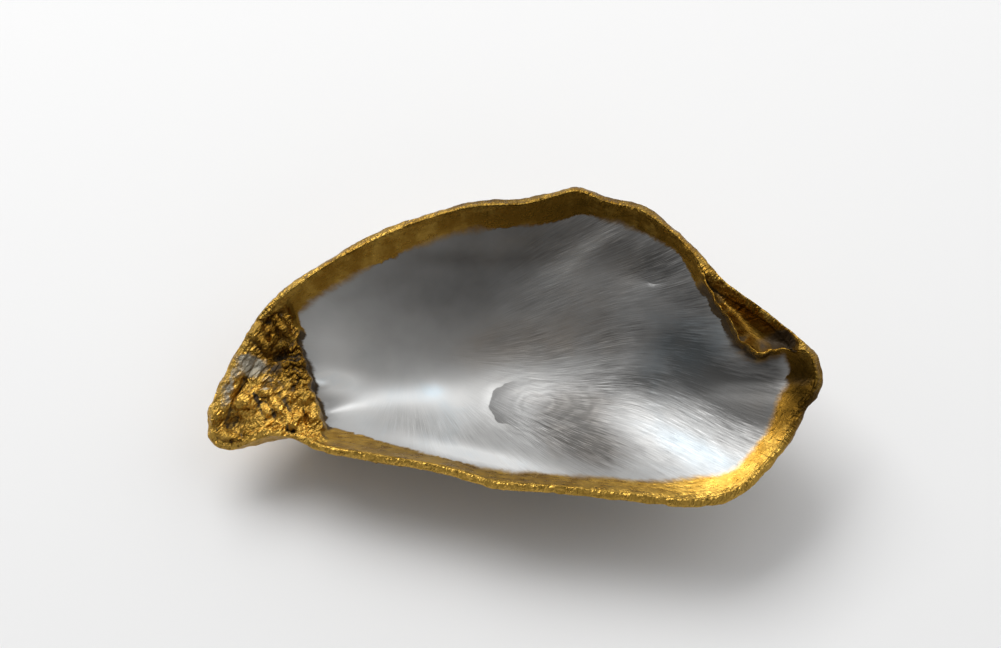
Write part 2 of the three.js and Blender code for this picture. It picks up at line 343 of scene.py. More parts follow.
class Margin:
    """The shell's margin, read at any part of its length."""

    def __init__(self):
        curve = closed_curve(np.array(MARGIN, dtype=float), SPAN_STEPS)
        low = curve[:, :2].min(axis=0)
        high = curve[:, :2].max(axis=0)
        size = (BOX_HIGH - BOX_LOW)[:2]
        curve[:, :2] = (curve[:, :2] - low) / (high - low) * size + BOX_LOW[:2]
        curve[:, 2] += BOX_LOW[2]
        closed = np.vstack((curve, curve[:1]))
        steps = np.linalg.norm(np.diff(closed[:, :3], axis=0), axis=1)
        self.curve = closed
        self.along = np.concatenate(([0], np.cumsum(steps)))
        self.length = self.along[-1]

    def at(self, part):
        """x, y, height and gilding width at parts of the margin's length."""
        along = np.mod(part, 1) * self.length
        return np.stack([np.interp(along, self.along, column) for column in self.curve.T], axis=-1)

    def normal(self, part):
        """Directions straight out of the margin, in plan."""
        tangent = (self.at(part + 0.001) - self.at(part - 0.001))[..., :2]
        tangent /= np.linalg.norm(tangent, axis=-1, keepdims=True)
        return np.stack((tangent[..., 1], -tangent[..., 0]), axis=-1)

    def softened(self, part):
        """The even contour that the bowl's inner contours follow, from the bowl's centre."""
        total = 0
        contour = 0
        for step in range(-SOFTENING_STEPS, SOFTENING_STEPS + 1):
            share = step / (SOFTENING_STEPS + 1)
            weight = math.cos(math.pi / 2 * share)
            contour = contour + weight * self.at(part + SOFTENING * share)[..., :2]
            total += weight
        return (contour / total - BOWL_CENTRE) * SOFT_SCALE


def crowded_parts(margin):
    """Parts of the margin's length, closer together round the hinge."""
    fine = np.linspace(0, 1, 2001)
    behind = behind_hinge(margin.at(fine))
    density = 1 + HINGE_CROWDING * smooth(behind, -12, 2)
    total = np.concatenate(([0], np.cumsum((density[1:] + density[:-1]) / 2)))
    return np.interp(np.arange(AROUND) / AROUND, total / total[-1], fine)


def behind_hinge(plan):
    """Distance behind the hinge line, negative in the bowl."""
    return HINGE_X + HINGE_LEAN * plan[..., 1] - plan[..., 0]


def wobble(values, wavelengths, seed):
    """A repeatable irregular wave of about plus or minus one."""
    draw = np.random.default_rng(seed)
    total = 0
    for wavelength in wavelengths:
        total = total + np.sin(values * 2 * math.pi / wavelength + draw.uniform(0, 2 * math.pi))
    return total / math.sqrt(len(wavelengths))


class Lip:
    """The folded lip's edge."""

    def __init__(self):
        edge = np.array(LIP_EDGE)
        steps = np.linalg.norm(np.diff(edge, axis=0), axis=1)
        along = np.concatenate(([0], np.cumsum(steps)))
        self.along = np.linspace(0, along[-1], LIP_SAMPLES)
        curve = np.stack([np.interp(self.along, along, column) for column in edge.T], axis=-1)
        for _ in range(LIP_EVENING_ROUNDS):
            curve[1:-1] = 0.5 * curve[1:-1] + 0.25 * (curve[:-2] + curve[2:])
        tangent = np.gradient(curve, axis=0)
        tangent /= np.linalg.norm(tangent, axis=1, keepdims=True)
        self.normal = np.stack((tangent[:, 1], -tangent[:, 0]), axis=-1)
        uneven = LIP_RAGGEDNESS * wobble(self.along, (2.1, 3.7, 6.3), 12)
        self.curve = curve + uneven[:, None] * self.normal
        share = self.along / self.along[-1]
        self.strength = smooth(share, 0, 0.12) * (1 - smooth(share, 0.72, 1))

    def read(self, plan):
        """Distance past the lip's edge towards the margin, the lip's strength, place along it, normal."""
        flat = plan.reshape(-1, 2)
        square = ((flat[:, None, :] - self.curve[None]) ** 2).sum(axis=-1)
        nearest = square.argmin(axis=1)
        side = np.sign(((flat - self.curve[nearest]) * self.normal[nearest]).sum(axis=-1))
        gap = (side * np.sqrt(square.min(axis=1))).reshape(plan.shape[:-1])
        along = self.along[nearest].reshape(plan.shape[:-1])
        normal = self.normal[nearest].reshape(plan.shape)
        return gap, self.strength[nearest].reshape(plan.shape[:-1]), along, normal

    def gap(self, plan):
        return self.read(plan)[0]


def even_out(values):
    """Evens out a value from ray to ray, so that no ring turns sharply."""
    for _ in range(RING_EVENING_ROUNDS):
        values = 0.5 * values + 0.25 * (np.roll(values, 1) + np.roll(values, -1))
    return values


def rounded_rings(values):
    """Rounds the bowl's rings, most in the middle and not at all at its foot."""
    share = np.arange(1, BOWL_ROWS + 1) / BOWL_ROWS
    spread = RING_ROUNDING * (1 - share**3)
    damping = np.exp(-2 * (math.pi * spread[:, None] * np.fft.fftfreq(AROUND)) ** 2)
    damping = damping.reshape(damping.shape + (1,) * (values.ndim - 2))
    rings = np.fft.ifft(np.fft.fft(values[:BOWL_ROWS], axis=1) * damping, axis=1).real
    return np.concatenate((rings, values[BOWL_ROWS:]))


class Rays:
    """Everything that is the same along each ray from the bowl's centre to the margin."""

    def __init__(self, margin, sizes):
        self.sizes = sizes
        self.margin = margin
        self.part = crowded_parts(margin)
        self.edge = margin.at(self.part)
        self.normal = margin.normal(self.part)
        self.soft = margin.softened(self.part)
        self.plate_depth = behind_hinge(self.edge)
        self.hinge = smooth(self.plate_depth, 0, 6)
        self.lip = Lip()
        foot, top = self.step_rings(behind_hinge, PLATE_STEP, smooth(self.plate_depth, -8, 0))
        half = LIP_STEP / 2
        crossing = self.plan(self.position_of(self.lip.gap, -half), sizes.margin_thickness / MM)
        crossing_gap, crossing_strength = self.lip.read(crossing)[:2]
        on_lip = np.where(np.abs(crossing_gap + half) < 0.1, smooth(crossing_strength, 0, 0.4), 0)
        lip_foot, lip_top = self.step_rings(lambda plan: self.lip.gap(plan) + half, half, on_lip)
        self.foot = even_out(np.where(on_lip > 0, lip_foot, foot))
        self.top = even_out(np.where(on_lip > 0, lip_top, top))

    def plan(self, v, inset=0.0):
        """Plan positions at parts v of the way out."""
        end = self.edge[:, :2] - self.normal * inset - BOWL_CENTRE
        v = np.asarray(v)[..., None]
        return BOWL_CENTRE + self.soft * v + (end - self.soft) * v**OUTLINE_POWER

    def position_of(self, distance, value):
        """Part of the way out at which a distance that grows outwards reaches a value, by halving."""
        low = np.zeros(AROUND)
        high = np.ones(AROUND)
        for _ in range(24):
            middle = (low + high) / 2
            short = distance(self.plan(middle, self.sizes.margin_thickness / MM)) < value
            low = np.where(short, middle, low)
            high = np.where(short, high, middle)
        return low

    def step_rings(self, distance, half, weight):
        """The rings at the foot and top of a step; weight 0 leaves them where plain rays have them."""
        foot = np.clip(self.position_of(distance, -half), 0.45, 0.94)
        top = np.clip(self.position_of(distance, half), foot + 0.015, 0.97)
        return (
            PLAIN_BAND[0] + (foot - PLAIN_BAND[0]) * weight,
            PLAIN_BAND[1] + (top - PLAIN_BAND[1]) * weight,
        )

    def plain_height(self, v):
        """Height of a plain bowl with this margin."""
        excess = (BOWL_FLATNESS - MARGIN_SLOPE) / (BOWL_FLARE - BOWL_FLATNESS)
        rise = (1 + excess) * v**BOWL_FLATNESS - excess * v**BOWL_FLARE
        floor = self.sizes.floor_height / MM
        return floor + (self.edge[:, 2] - floor) * rise

    def folded(self, plan, plain, apart):
        """Heights after the folded lip: a raised edge over the bowl, and a trough from it to the margin."""
        gap, strength = self.lip.read(plan)[:2]
        lip_top = self.sizes.lip_height / MM
        share = np.clip(gap / np.maximum(gap + apart, 0.01), 0, 1)
        dip = self.sizes.trough_depth / MM * np.sin(math.pi * share**0.8)
        behind_lip = lip_top + (self.edge[:, 2] - lip_top) * share**1.5 - dip
        before_lip = lip_top + (plain - lip_top) * smooth(-gap, 0, LIP_STEP)
        return plain + (np.where(gap > 0, behind_lip, before_lip) - plain) * strength

    def plate_relief(self, plan):
        """Lumps, hollows and strata of the hinge plate."""
        x = plan[..., 0]
        y = plan[..., 1]
        relief = 0
        for *ellipse, height in PLATE_LUMPS:
            relief = relief + height * np.exp(-(spot(plan, *ellipse) ** 2.8))
        strata = PLATE_STRATA
        spread = np.hypot((x - strata["x"]) / strata["half_x"], (y - strata["y"]) / strata["half_y"])
        level = y + 0.18 * x + 0.35 * np.sin(1.3 * x) + 0.3 * np.sin(2.9 * x + 1.1 * y)
        layers = 0.6 * np.sin(2 * math.pi * level / strata["pitch"])
        layers = layers + 0.4 * np.sin(2 * math.pi * level / strata["pitch"] * 0.61 + 1.0)
        relief = relief + strata["height"] * layers * (1 - smooth(spread, 0.8, 1.15))
        return relief

    def inner_surface(self, v):
        """Positions of the inside at parts v (rows by rays)."""
        plan = rounded_rings(self.plan(v, self.sizes.margin_thickness / MM))
        behind = behind_hinge(plan)
        behind = behind + 0.3 * wobble(plan[..., 1], (2.9, 4.3, 7.7), 9) * smooth(self.plate_depth, 0, 5)
        height = rounded_rings(self.plain_height(v))
        height = height - CAVITY_DEPTH * np.exp(-((behind / CAVITY_REACH) ** 2)) * (1 - v**6)
        height = height - self.scar_depth(plan)
        back = np.clip(behind / np.maximum(self.plate_depth, 0.01), 0, 1)
        plate_edge = self.sizes.plate_height / MM + PLATE_TILT * plan[..., 1]
        plate = plate_edge + (self.edge[:, 2] - plate_edge) * back**2
        rim_fade = 1 - smooth(back, 0.85, 1)
        plate = plate + self.plate_relief(plan) * (0.35 + 0.65 * rim_fade)
        on_plate = smooth(behind, -PLATE_STEP, PLATE_STEP) * self.hinge
        height = height + (plate - height) * on_plate
        apart, width = margin_distance(plan, self.margin)
        height = self.folded(plan, height, apart)
        overhang = self.sizes.plate_overhang / MM * self.hinge
        jut = overhang * smooth(behind, -0.2, 0.8) * (1 - smooth(behind, 0.8, 4.0))
        plan = plan + jut[..., None] * np.array((1.0, 0.15))
        gap, strength, along, lip_normal = self.lip.read(plan)
        ragged = 1 + 0.3 * wobble(along, (3.1, 5.3, 8.9), 4)
        jut = self.sizes.lip_overhang / MM * ragged * np.exp(-((gap / 0.9) ** 2)) * strength
        plan = plan - jut[..., None] * lip_normal
        gilding = np.maximum(width - apart, np.where(strength > 0.01, gap + LIP_GILDING, NO_GILDING))
        return np.dstack((plan, height)), apart, behind, gilding

    def scar_depth(self, plan):
        """The adductor scar: a shallow oval, crisp on its hinge side, with rings inside."""
        across = (plan[..., 0] - SCAR["x"]) / SCAR["half_x"]
        up = (plan[..., 1] - SCAR["y"]) / SCAR["half_y"]
        spread = np.hypot(across, up)
        crisp = 1 - smooth(across, -0.6, 0.9)
        return SCAR["depth"] * (1 - smooth(spread, 0.86, 1.0)) * crisp

    def outer_surface(self, v):
        """Positions of the outside at parts v, before its growth relief."""
        plan = self.plan(v)
        wall = MARGIN_BEVEL + (FLOOR_THICKNESS - MARGIN_BEVEL) * (1 - v) ** WALL_TAPER
        umbo = UMBO_THICKNESS * smooth(behind_hinge(plan), -UMBO_REACH, 0) * (1 - v**8)
        apart = margin_distance(plan, self.margin)[0]
        plain = self.plain_height(v)
        inner = np.minimum(plain, self.folded(plan, plain, apart))
        return np.dstack((plan, np.maximum(BOX_LOW[2], inner - wall - umbo))), apart


def inner_rows(rays):
    """Parts of the way out on the inside: the bowl, the step up to plate or lip, and the band."""
    bowl = np.linspace(0, 1, BOWL_ROWS + 1)[1:, None] * rays.foot
    step = np.linspace(0, 1, STEP_ROWS + 1)[1:, None]
    step = rays.foot + step * (rays.top - rays.foot)
    band = np.linspace(0, 1, BAND_ROWS + 1)[1:, None]
    band = rays.top + band * (1 - rays.top)
    return np.vstack((bowl, step, band))


def rim_rows(rays, inner_edge, outer_edge):
    """The broken face between the inner and outer edges of the margin."""
    rows = []
    for row in range(1, RIM_ROWS):
        share = row / RIM_ROWS
        swell = 0.25 * math.sin(math.pi * share)
        point = inner_edge + (outer_edge - inner_edge) * share
        point[:, 2] += swell
        rows.append(point)
    return np.stack(rows)


def margin_distance(points, margin):
    """Each point's shortest distance to the margin in plan, and the gilding's width at that place."""
    curve = margin.curve[::3]
    way = np.gradient(curve[:, :2], axis=0)
    spacing = np.linalg.norm(way, axis=1)
    way = way / spacing[:, None]
    flat = points[..., :2].reshape(-1, 2)
    distances = np.empty(len(flat))
    widths = np.empty(len(flat))
    for start in range(0, len(flat), POINTS_AT_ONCE):
        chosen = slice(start, start + POINTS_AT_ONCE)
        part = flat[chosen]
        square = ((part[:, None, :] - curve[None, :, :2]) ** 2).sum(axis=-1)
        nearest = square.argmin(axis=1)
        offset = part - curve[nearest, :2]
        along = np.clip((offset * way[nearest]).sum(axis=1), -spacing[nearest], spacing[nearest])
        distances[chosen] = np.linalg.norm(offset - along[:, None] * way[nearest], axis=1)
        widths[chosen] = curve[nearest, 3]
    return distances.reshape(points.shape[:2]), widths.reshape(points.shape[:2])


def spot(points, x, y, half_length, half_width, turn):
    """How far out of a turned ellipse each point lies in plan, 1 at its edge."""
    cos = math.cos(math.radians(turn))
    sin = math.sin(math.radians(turn))
    along = ((points[..., 0] - x) * cos + (points[..., 1] - y) * sin) / half_length
    across = ((points[..., 1] - y) * cos - (points[..., 0] - x) * sin) / half_width
    return np.hypot(along, across)


def places(points, table):
    """The strongest of the places in a table at each point."""
    strongest = np.zeros(points.shape[:-1])
    for *ellipse, strength in table:
        strongest = np.maximum(strongest, strength * np.exp(-(spot(points, *ellipse) ** 3)))
    return strongest


def shades(points, table, column):
    """The sum of a table's soft painted light and shade, or tint, at each point; the column counts from the
    turn's.
    """
    total = np.zeros(points.shape[:-1])
    for row in table:
        total += row[4 + column] * np.exp(-(spot(points, *row[:5]) ** 2))
    return total


def growth_field(points, margin):
    """Each point's part of the way from the umbo to the margin, its angle, direction and distance."""
    outline = margin.at(np.linspace(0, 1, 2000, endpoint=False))[:, :2] - UMBO
    angles = np.arctan2(outline[:, 1], outline[:, 0])
    order = np.argsort(angles)
    reaches = np.hypot(outline[:, 0], outline[:, 1])
    step = points[..., :2] - UMBO
    angle = np.arctan2(step[..., 1], step[..., 0])
    distance = np.hypot(step[..., 0], step[..., 1])
    reach = np.interp(angle, angles[order], reaches[order], period=2 * math.pi)
    direction = step / np.maximum(distance, 0.5)[..., None]
    return distance / np.maximum(reach, 1.0), angle, direction, distance


def shell_grid(sizes):
    """All rows of the shell from the bowl's centre over the margin to the resting flat, and their fields."""
    margin = Margin()
    rays = Rays(margin, sizes)
    inner_v = inner_rows(rays)
    inner, inner_apart, inner_behind, gilding = rays.inner_surface(inner_v)
    outer_v = (1 - (1 - np.linspace(0, 1, OUTER_ROWS + 1)[1:]) ** 1.2)[::-1, None] * np.ones(AROUND)
    outer, outer_apart = rays.outer_surface(outer_v)
    rim = rim_rows(rays, inner[-1], outer[0])
    points = np.concatenate((inner, rim, outer))
    zeros = np.zeros((len(rim), AROUND))
    apart = np.concatenate((inner_apart, zeros, outer_apart))
    behind = np.concatenate((inner_behind, zeros + rays.plate_depth, behind_hinge(outer)))
    outward = np.concatenate((np.zeros(inner.shape[:2]), zeros + 0.5, np.ones(outer.shape[:2])))
    growth, angle, direction, distance = growth_field(points, margin)
    inner_reach = np.concatenate((gilding, zeros + RIM_GILDING, np.zeros(outer.shape[:2])))
    plate_reach = np.where(rays.hinge > 0, np.minimum(behind + 1.0, PLATE_GILDING), NO_GILDING)
    wrap = sizes.gilt_wrap / MM
    outer_reach = wrap + 0.6 * wrap * smooth(-distance, -20, -4) - apart * 1.3
    reach = np.where(outward < 0.25, np.maximum(inner_reach, plate_reach), outer_reach)
    inside = outward < 0.75
    on_plate = smooth(behind, -0.5, 0.8) * rays.hinge * inside
    turn = 2 * math.pi * rays.part + np.zeros(apart.shape)
    radius = margin.length / (2 * math.pi)
    side = np.where(outward > 0.5, -apart, apart)
    around = np.dstack((radius * np.cos(turn), radius * np.sin(turn), side))
    fields = {
        "growth": growth,
        "ray": angle,
        "umbo_distance": distance,
        "outside": outward,
        "rim": np.exp(-((apart / RIM_WIDTH) ** 2)),
        "plate": on_plate,
        "gilt_reach": reach,
        "edge_distance": apart,
        "bare": places(points, BARE_PLACES) * inside,
        "dark": places(points, DARK_AND_SHADED_PLACES) * inside,
        # The nacre's painted light and shade, then its tint.
        "nacre_painted_light": shades(points, NACRE_PAINTED_LIGHT_AND_TINT, 1),
        "blueness": shades(points, NACRE_PAINTED_LIGHT_AND_TINT, 2),
        "brushed": places(points, BRUSHED_PLACES),
        # The gilding's painted light and shade.
        "gilt_painted_shade": shades(points, GILT_PAINTED_SHADES, 1),
        "growth_way": np.dstack((direction, np.zeros(direction.shape[:2]))),
        "around": around,
    }
    return points, fields


def grid_mesh(name, points, fields, sizes):
    """A closed mesh from the rows, with a pole at each end."""
    rows, columns = points.shape[:2]
    floor = (BOWL_CENTRE[0], BOWL_CENTRE[1], BOX_LOW[2] + sizes.floor_height / MM)
    bottom = (BOWL_CENTRE[0], BOWL_CENTRE[1], BOX_LOW[2])
    vertices = np.vstack((points.reshape(-1, 3), floor, bottom)) * MM
    index = np.arange(rows * columns).reshape(rows, columns)
    right = np.roll(index, -1, axis=1)
    quads = np.stack((index[:-1], index[1:], right[1:], right[:-1]), axis=-1).reshape(-1, 4)
    pole_in = rows * columns
    pole_out = pole_in + 1
    fan_in = [(pole_in, int(a), int(b)) for a, b in zip(index[0], right[0])]
    fan_out = [(pole_out, int(b), int(a)) for a, b in zip(index[-1], right[-1])]
    mesh = bpy.data.meshes.new(name)
    mesh.from_pydata(vertices.tolist(), [], quads.tolist() + fan_in + fan_out)
    for field, values in fields.items():
        add_field(mesh, field, values)
    mesh.update()
    return mesh


def add_field(mesh, name, values):
    """Stores rows of values as a point attribute; each pole takes its nearest row's mean."""
    vector = values.ndim == 3
    flat = values.reshape(-1, 3) if vector else values.reshape(-1)
    ends = np.stack((values[0].mean(axis=0), values[-1].mean(axis=0)))
    data = np.concatenate((flat, ends)).astype(np.float32)
    attribute = mesh.attributes.new(name, "FLOAT_VECTOR" if vector else "FLOAT", "POINT")
    attribute.data.foreach_set("vector" if vector else "value", data.ravel())


class Wire:
    """A node's output that can be reckoned with: each sign adds one math node to its tree."""

    def __init__(self, tree, socket):
        self.tree = tree
        self.socket = socket

    def __add__(self, other):
        return self.tree.math("ADD", self, other)

    def __sub__(self, other):
        return self.tree.math("SUBTRACT", self, other)

    def __rsub__(self, other):
        return self.tree.math("SUBTRACT", other, self)

    def __mul__(self, other):
        return self.tree.math("MULTIPLY", self, other)

    def __rtruediv__(self, other):
        return self.tree.math("DIVIDE", other, self)

    def __truediv__(self, other):
        return self.tree.math("DIVIDE", self, other)

    def __pow__(self, other):
        return self.tree.math("POWER", self, other)

    def __abs__(self):
        return self.tree.math("ABSOLUTE", self)


class Tree:
    """Short ways to add nodes to a shader or geometry tree; most return an output as a Wire."""

    def __init__(self, tree):
        self.tree = tree

    def node(self, kind, **settings):
        node = self.tree.nodes.new(kind)
        for name, value in settings.items():
            setattr(node, name, value)
        return node

    def feed(self, socket, value):
        """Links an output to an input socket, or sets the socket's own value."""
        if isinstance(value, Wire):
            value = value.socket
        if isinstance(value, bpy.types.NodeSocket):
            self.tree.links.new(value, socket)
        elif value is not None:
            socket.default_value = value

    def wire(self, kind, inputs, output=0, **settings):
        """One output of a new node, whose inputs are given by name or number."""
        node = self.node(kind, **settings)
        for key, value in inputs.items():
            self.feed(node.inputs[key], value)
        return Wire(self, node.outputs[output])

    def math(self, operation, *values, clamp=False):
        inputs = dict(enumerate(values))
        return self.wire("ShaderNodeMath", inputs, operation=operation, use_clamp=clamp)

    def vector(self, operation, *values, scale=None):
        inputs = dict(enumerate(values))
        if scale is not None:
            inputs["Scale"] = scale
        output = "Value" if operation == "DOT_PRODUCT" else "Vector"
        return self.wire("ShaderNodeVectorMath", inputs, output, operation=operation)

    def combine(self, x, y, z):
        return self.wire("ShaderNodeCombineXYZ", {"X": x, "Y": y, "Z": z})

    def separate(self, vector):
        node = self.node("ShaderNodeSeparateXYZ")
        self.feed(node.inputs[0], vector)
        return [Wire(self, output) for output in node.outputs]

    def ramp(self, value, low, high, start=0.0, end=1.0):
        """A smooth step from start to end while value goes from low to high."""
        inputs = {"Value": value, "From Min": low, "From Max": high, "To Min": start, "To Max": end}
        return self.wire("ShaderNodeMapRange", inputs, "Result", interpolation_type="SMOOTHSTEP")

    def noise(self, vector, scale, detail=3.0, roughness=0.55, distortion=0.0):
        inputs = {
            "Vector": vector,
            "Scale": scale,
            "Detail": detail,
            "Roughness": roughness,
            "Distortion": distortion,
        }
        return self.wire("ShaderNodeTexNoise", inputs, "Fac")

    def ridged(self, vector, scale, detail=3.0):
        """Noise folded into sharp crests, from 0 to 1."""
        folded = abs(self.noise(vector, scale, detail) * 2.0 - 1.0)
        return 1.0 - self.math("MULTIPLY", folded, 2.2, clamp=True)

    def blend(self, factor, first, second, kind="RGBA", how="MIX"):
        first_slot, second_slot, output = {"RGBA": (6, 7, 2), "FLOAT": (2, 3, 0)}[kind]
        inputs = {0: factor, first_slot: first, second_slot: second}
        settings = {"data_type": kind, "clamp_factor": True, "blend_type": how}
        return self.wire("ShaderNodeMix", inputs, output, **settings)


class Group(Tree):
    """A node group with named inputs and outputs."""

    def __init__(self, name, kind, inputs, outputs):
        super().__init__(bpy.data.node_groups.new(name, kind))
        for label, socket_kind, default in inputs:
            socket = self.tree.interface.new_socket(label, in_out="INPUT", socket_type=socket_kind)
            if default is not None:
                socket.default_value = default
        for label, socket_kind in outputs:
            self.tree.interface.new_socket(label, in_out="OUTPUT", socket_type=socket_kind)
        given = self.node("NodeGroupInput").outputs
        self.inputs = {label: Wire(self, given[label]) for label, *_ in inputs}
        self.outputs = self.node("NodeGroupOutput").inputs

    def finished(self, **values):
        """The group's tree, with its outputs fed."""
        for name, value in values.items():
            self.feed(self.outputs[name], value)
        return self.tree


FLOAT = "NodeSocketFloat"
COLOUR = "NodeSocketColor"
VECTOR = "NodeSocketVector"


def field_value(group, name, kind="FLOAT"):
    """A named attribute inside a geometry tree."""
    return group.wire("GeometryNodeInputNamedAttribute", {"Name": name}, "Attribute", data_type=kind)


def draped(group, place, squeeze):
    """A place turned and stretched, so that folds there run across the hinge plate."""
    across = group.vector("DOT_PRODUCT", place, DRAPE_ACROSS)
    along = group.vector("DOT_PRODUCT", place, DRAPE_ALONG)
    return group.combine(across * squeeze, along, group.separate(place)[2] * 0.6)


def growth_relief_tree():
    """Growth lamellae, radial ribs, crust, a chipped margin and a crumpled plate, as one relief."""
    inputs = (
        ("Geometry", "NodeSocketGeometry", None),
        ("Lamella Count", FLOAT, 18.0),
        ("Lamella Height", FLOAT, 0.0008),
        ("Lamella Waviness", FLOAT, 0.6),
        ("Rib Count", FLOAT, 9.0),
        ("Rib Height", FLOAT, 0.001),
        ("Crust Height", FLOAT, 0.0003),
        ("Crust Size", FLOAT, 0.0025),
        ("Chip Height", FLOAT, 0.0004),
        ("Chip Size", FLOAT, 0.003),
        ("Crumple Height", FLOAT, 0.0005),
        ("Crumple Size", FLOAT, 0.003),
        ("Seed", FLOAT, 1.0),
        ("Material", "NodeSocketMaterial", None),
    )
    group = Group("Shell Growth Relief", "GeometryNodeTree", inputs, (("Geometry", "NodeSocketGeometry"),))
    given = group.inputs
    position = group.node("GeometryNodeInputPosition").outputs[0]
    normal = group.node("GeometryNodeInputNormal").outputs[0]
    seed = group.combine(given["Seed"], given["Seed"], given["Seed"])
    place = group.vector("ADD", position, group.vector("SCALE", seed, scale=0.137))
    outside = field_value(group, "outside")
    growth = field_value(group, "growth")
    ray = field_value(group, "ray")
    rim = field_value(group, "rim")
    plate = field_value(group, "plate")
    edge_distance = field_value(group, "edge_distance")
    umbo_distance = field_value(group, "umbo_distance")

    rib_wave = group.math("SINE", ray * (given["Rib Count"] * 4.4))
    rib_warp = group.noise(place, 28.0, 2.0)
    rib_shape = rib_warp + rib_wave * 0.5
    rib_fade = group.ramp(umbo_distance, 12.0, 45.0)
    rib_fade *= group.ramp(edge_distance, 0.0, 3.0, 0.25, 1.0)
    ribs = rib_shape * given["Rib Height"] * rib_fade

    wave = group.noise(place, 45.0, 3.0) * given["Lamella Waviness"]
    wave = wave * 3.0 + rib_wave * 0.12
    phase = growth * given["Lamella Count"] + wave
    saw = group.math("FRACT", phase)
    crest = saw ** 1.5
    fall = group.ramp(saw, 0.76, 1.0, 1.0, 0.0)
    lamella = crest * fall
    strength = group.ramp(group.noise(place, 90.0, 2.0), 0.3, 0.65, 0.35, 1.5)
    lamella *= strength * given["Lamella Height"]
    lamella *= group.ramp(edge_distance, 0.3, 2.0)
    lamella *= group.ramp(umbo_distance, 8.0, 34.0, 0.15, 1.0)

    per_crust = 1.0 / given["Crust Size"]
    crust = group.noise(place, per_crust, 5.0, 0.62)
    crust = (crust - 0.5) * given["Crust Height"]
    outer_height = ribs + lamella + crust * 2.0
    outer_mask = group.ramp(outside, 0.45, 1.0)
    outer_height *= outer_mask

    per_chip = 1.0 / given["Chip Size"]
    chips = (group.noise(place, per_chip, 4.0, 0.6) - 0.5) * 2.4
    chips *= given["Chip Height"] * rim

    per_crumple = 1.0 / given["Crumple Size"]
    folds = group.ridged(draped(group, place, 0.5), per_crumple, 2.0)
    grains = group.noise(place, per_crumple * 3.6, 4.0, 0.6)
    crumple = folds * 0.8 + (grains - 0.5) * 0.4
    crumple *= given["Crumple Height"] * plate

    along_normal = outer_height + chips + crumple
    offset = group.vector("SCALE", normal, scale=along_normal)
    flare = lamella * outer_mask * 0.7
    growth_way = field_value(group, "growth_way", "FLOAT_VECTOR")
    offset = group.vector("ADD", offset, group.vector("SCALE", growth_way, scale=flare))
    moved = group.node("GeometryNodeSetPosition")
    group.feed(moved.inputs["Geometry"], given["Geometry"])
    group.feed(moved.inputs["Offset"], offset)

    x, y, z = group.separate(group.node("GeometryNodeInputPosition").outputs[0])
    settled = group.node("GeometryNodeSetPosition")
    group.feed(settled.inputs["Geometry"], moved.outputs["Geometry"])
    group.feed(settled.inputs["Position"], group.combine(x, y, group.math("MAXIMUM", z, BOX_LOW[2] * MM)))
    realized = group.node("GeometryNodeRealizeInstances")
    group.feed(realized.inputs["Geometry"], settled.outputs["Geometry"])
    painted = group.node("GeometryNodeSetMaterial")
    group.feed(painted.inputs["Geometry"], realized.outputs["Geometry"])
    group.feed(painted.inputs["Material"], given["Material"])
    return group.finished(Geometry=painted.outputs["Geometry"])


def apply_tree(mesh, name, tree, values):
    """A plain mesh from a geometry tree run on a mesh with the named input values."""
    source = bpy.data.objects.new(name + "_source", mesh)
    bpy.context.collection.objects.link(source)
    modifier = source.modifiers.new("relief", "NODES")
    modifier.node_group = tree
    for socket in tree.interface.items_tree:
        if socket.item_type == "SOCKET" and socket.in_out == "INPUT" and socket.name in values:
            modifier[socket.identifier] = values[socket.name]
    depsgraph = bpy.context.evaluated_depsgraph_get()
    finished = bpy.data.meshes.new_from_object(source.evaluated_get(depsgraph), depsgraph=depsgraph)
    source.modifiers.remove(modifier)
    bpy.data.objects.remove(source)
    finished.name = name
    return finished


def add_hollow_field(mesh, rows):
    """Stores how far each point lies under (plus) or over (minus) its smoothed surroundings, in mm, which the
    materials use to paint shade into hollows.
    """
    count = len(mesh.vertices)
    positions = np.empty(count * 3, dtype=np.float32)
    normals = np.empty(count * 3, dtype=np.float32)
    mesh.vertices.foreach_get("co", positions)
    mesh.vertices.foreach_get("normal", normals)
    positions = positions.reshape(-1, 3)[: rows * AROUND].reshape(rows, AROUND, 3) / MM
    normals = normals.reshape(-1, 3)[: rows * AROUND].reshape(rows, AROUND, 3)
    smoothed = positions.copy()
    for step in range(1, max(HOLLOW_ROUNDS.values()) + 1):
        padded = np.concatenate((smoothed[:1], smoothed, smoothed[-1:]))
        vertical = (padded[:-2] + padded[2:]) / 2
        sideways = (np.roll(smoothed, 1, axis=1) + np.roll(smoothed, -1, axis=1)) / 2
        smoothed = 0.4 * smoothed + 0.3 * vertical + 0.3 * sideways
        for name, rounds in HOLLOW_ROUNDS.items():
            if step == rounds:
                add_field(mesh, name, ((smoothed - positions) * normals).sum(axis=-1))


def brushed_edge_group():
    """The ragged edge of a brushed coat, from how far inside its reach a point lies."""
    inputs = (
        ("Reach", FLOAT, 0.0),
        ("Around", VECTOR, None),
        ("Raggedness", FLOAT, 1.0),
        ("Softness", FLOAT, 0.5),
    )
    group = Group("Brushed Edge", "ShaderNodeTree", inputs, (("Mask", FLOAT),))
    given = group.inputs
    broad = group.noise(given["Around"], 0.16, 2.0)
    fine = group.noise(given["Around"], 1.1, 4.0, 0.65)
    fine = (fine - 0.5) * 0.55
    wander = broad - 0.5 + fine
    reach = given["Reach"] + wander * given["Raggedness"]
    blur = group.ramp(group.noise(given["Around"], 0.07, 1.0), 0.42, 0.62, 0.35, 2.2)
    half = given["Softness"] * blur
    return group.finished(Mask=group.ramp(reach, half * -1.0, half))


